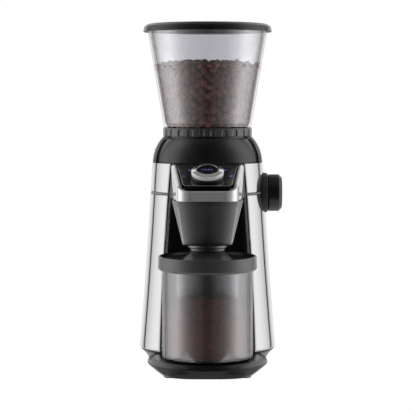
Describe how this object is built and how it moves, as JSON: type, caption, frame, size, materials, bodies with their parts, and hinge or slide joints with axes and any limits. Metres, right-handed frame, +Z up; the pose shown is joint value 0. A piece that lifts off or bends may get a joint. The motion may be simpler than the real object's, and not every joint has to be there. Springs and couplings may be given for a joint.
{
  "type": "burr coffee grinder",
  "caption": "Upright electric conical burr coffee grinder with a clear bean hopper, tilted control dial, side grind knob and a clear catch canister in an open bay.",
  "frame": {"origin": "middle of the whole footprint, on the table under the feet", "axes": "+Z up, +X to the user's right where the grind knob is, -Y to the front where the canister and the dial are"},
  "size_m": [0.1629, 0.2182, 0.3855],
  "materials": {
    "satin_black": "satin",
    "gloss_black": "gloss",
    "grey_plastic": "satin",
    "steel_skin": "brushed",
    "hood_grey": "satin",
    "chrome": "polished",
    "hopper_clear": "smoky clear plastic",
    "canister_clear": "smoky clear plastic",
    "lid_black": "satin",
    "lid_grey": "satin",
    "rubber": "matte",
    "seal": "matte",
    "knob_black": "satin",
    "machined_steel": "machined",
    "die_cast": "cast",
    "brass": "machined",
    "gear_nylon": "satin",
    "circuit_board": "gloss",
    "motor_steel": "satin",
    "copper_winding": "lacquered"
  },
  "bodies": {
    "base": {"base_tray": "satin_black", "base_cover": "satin_black", "rubber_feet": "rubber", "base_screws": "machined_steel", "lower_shell": "steel_skin", "upper_shell": "steel_skin", "seam_spacer": "grey_plastic", "front_frame": "grey_plastic", "inner_frame": "satin_black", "top_dome": "satin_black", "rear_cap": "hood_grey", "arch_gasket": "rubber", "rear_vent_panel": "satin_black", "cord_gland": "rubber", "chrome_trim": "chrome", "control_panel": "gloss_black", "chute_cover": "satin_black", "spout_funnel": "satin_black", "chute_duct": "grey_plastic", "panel_board": "circuit_board", "dial_encoder": "machined_steel", "power_board": "circuit_board", "knob_bezel": "satin_black", "knob_bushing": "brass", "hopper_seat": "satin_black", "burr_housing": "die_cast", "gearbox_case": "die_cast", "gearbox_lid": "die_cast", "gearbox_screws": "machined_steel", "support_rods": "motor_steel", "shaft_bearings": "machined_steel", "idler_axle": "machined_steel", "motor_can": "motor_steel", "motor_end_cap": "motor_steel", "hopper_switch": "gloss_black", "canister_switch": "gloss_black"},
    "hopper_lid": {"hopper_lid": "lid_black", "lid_seal": "seal"},
    "hopper": {"hopper": "hopper_clear"},
    "collar": {"locking_collar": "lid_grey"},
    "grind_knob": {"grind_knob": "knob_black", "knob_face": "knob_black", "knob_shaft": "machined_steel"},
    "adjuster": {"adjuster_ring": "brass"},
    "burr_carrier": {"burr_carrier": "die_cast", "ring_burr": "machined_steel"},
    "burr_drive": {"burr_shaft": "machined_steel", "cone_burr": "machined_steel", "impeller": "satin_black", "burr_bolt": "machined_steel", "output_gear": "machined_steel"},
    "idler": {"idler_gear": "gear_nylon"},
    "rotor": {"motor_rotor": "copper_winding", "motor_pinion": "brass"},
    "dial": {"dial_ring": "chrome", "dial_skirt": "gloss_black"},
    "start_button": {"start_button": "gloss_black"},
    "canister": {"canister": "canister_clear"},
    "canister_lid": {"canister_lid": "lid_grey", "canister_seal": "seal"}
  },
  "joints": [
    {"name": "hopper_lift", "type": "slide", "parent": "base", "child": "hopper", "axis": [0, 0, 1], "range_m": [0, 0.06]},
    {"name": "hopper_lid_lift", "type": "slide", "parent": "hopper", "child": "hopper_lid", "axis": [0, 0, 1], "range_m": [0, 0.05]},
    {"name": "collar_turn", "type": "hinge", "parent": "base", "child": "collar", "pos_m": [-0.0035, 0.0359, 0.263], "axis": [0, 0, 1], "range_deg": [0, 30]},
    {"name": "grind_knob_turn", "type": "hinge", "parent": "base", "child": "grind_knob", "pos_m": [0.0565, 0.0359, 0.193], "axis": [1, 0, 0], "range_deg": [-135, 135]},
    {"name": "adjuster_turn", "type": "hinge", "parent": "base", "child": "adjuster", "pos_m": [-0.0035, 0.0359, 0.204], "axis": [0, 0, 1], "range_deg": [-25, 25]},
    {"name": "carrier_lift", "type": "slide", "parent": "base", "child": "burr_carrier", "axis": [0, 0, 1], "range_m": [-0.0009, 0.0009]},
    {"name": "rotor_spin", "type": "hinge", "parent": "base", "child": "rotor", "pos_m": [-0.0035, 0.0664, 0.11], "axis": [0, 0, 1], "continuous": true},
    {"name": "idler_spin", "type": "hinge", "parent": "base", "child": "idler", "pos_m": [-0.01922, 0.05403, 0.17], "axis": [0, 0, 1], "continuous": true},
    {"name": "burr_spin", "type": "hinge", "parent": "base", "child": "burr_drive", "pos_m": [-0.0035, 0.0359, 0.2], "axis": [0, 0, 1], "continuous": true},
    {"name": "dial_turn", "type": "hinge", "parent": "base", "child": "dial", "pos_m": [-0.0035, -0.0481, 0.21471], "axis": [0, -0.4131, 0.9107], "continuous": true},
    {"name": "start_press", "type": "slide", "parent": "base", "child": "start_button", "axis": [0, 0.4131, -0.9107], "range_m": [0, 0.0012], "stiffness_N_per_m": 400, "springref_m": -0.001},
    {"name": "canister_slide", "type": "slide", "parent": "base", "child": "canister", "axis": [0, -1, 0], "range_m": [0, 0.16]},
    {"name": "canister_lid_turn", "type": "hinge", "parent": "canister", "child": "canister_lid", "pos_m": [-0.0035, -0.0431, 0.12], "axis": [0, 0, 1], "continuous": true}
  ],
  "couplings": [
    {"joint": "adjuster_turn", "follows": "grind_knob_turn", "ratio": -0.18182},
    {"joint": "carrier_lift", "follows": "grind_knob_turn", "m_per_rad": 0.00034725},
    {"joint": "idler_spin", "follows": "rotor_spin", "ratio": -0.25},
    {"joint": "burr_spin", "follows": "rotor_spin", "ratio": 0.083333}
  ]
}
